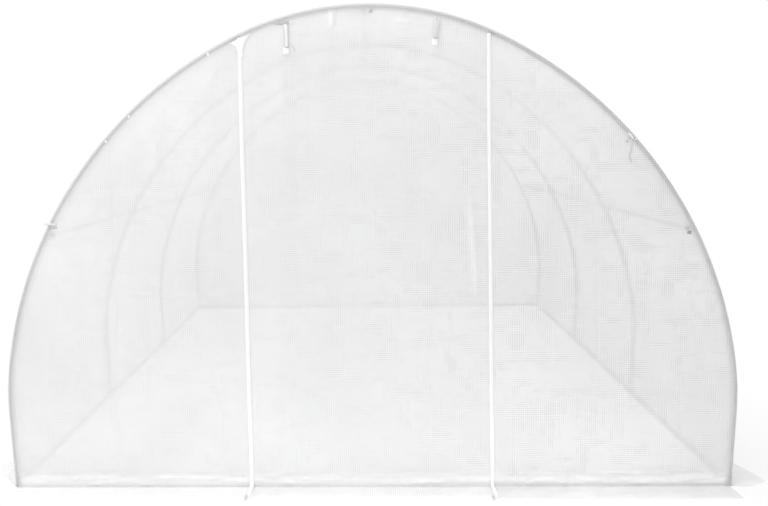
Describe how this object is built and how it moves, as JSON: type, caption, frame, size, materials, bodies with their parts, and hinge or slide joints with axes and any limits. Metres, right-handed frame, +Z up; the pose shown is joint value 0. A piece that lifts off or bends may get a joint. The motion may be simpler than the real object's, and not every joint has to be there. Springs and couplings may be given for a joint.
{
  "type": "walk-in tunnel greenhouse",
  "caption": "Walk-in tunnel greenhouse: a steel tube hoop frame under a translucent film cover, with a zipped roll-up door in each end and skirts on the ground.",
  "frame": {"origin": "centre of the footprint, on the ground", "axes": "+Z up, Y along the tunnel with the front end at -Y, +X to the right of someone facing the front"},
  "size_m": [3.269, 4.3, 1.97],
  "materials": {
    "cover_film": "translucent white polyethylene film with a reinforcing grid",
    "galvanised_steel": "galvanised",
    "fitting": "galvanised, dull",
    "zip": "white nylon",
    "slider": "grey",
    "webbing": "white webbing",
    "toggle": "white"
  },
  "bodies": {
    "root": {"corner_fittings": "fitting", "crown_tubes": "galvanised_steel", "front_door_panel": "cover_film", "front_edge_film": "cover_film", "front_ground_rail": "galvanised_steel", "front_left_panel": "cover_film", "front_left_zip": "zip", "front_right_panel": "cover_film", "front_right_zip": "zip", "front_skirt": "cover_film", "left_ground_rail": "galvanised_steel", "left_legs": "galvanised_steel", "left_purlin": "galvanised_steel", "left_roof_lower_film": "cover_film", "left_roof_upper_film": "cover_film", "left_shoulder_lower_film": "cover_film", "left_shoulder_tubes": "galvanised_steel", "left_shoulder_upper_film": "cover_film", "left_skirt": "cover_film", "left_wall_lower_film": "cover_film", "left_wall_upper_film": "cover_film", "rear_door_panel": "cover_film", "rear_edge_film": "cover_film", "rear_ground_rail": "galvanised_steel", "rear_left_panel": "cover_film", "rear_left_zip": "zip", "rear_right_panel": "cover_film", "rear_right_zip": "zip", "rear_skirt": "cover_film", "ridge_purlin": "galvanised_steel", "right_ground_rail": "galvanised_steel", "right_legs": "galvanised_steel", "right_purlin": "galvanised_steel", "right_roof_lower_film": "cover_film", "right_roof_upper_film": "cover_film", "right_shoulder_lower_film": "cover_film", "right_shoulder_tubes": "galvanised_steel", "right_shoulder_upper_film": "cover_film", "right_skirt": "cover_film", "right_wall_lower_film": "cover_film", "right_wall_upper_film": "cover_film", "roll_up_straps": "webbing", "strap_toggles": "toggle", "tee_fittings": "fitting", "zip_sliders": "slider"}
  },
  "joints": []
}
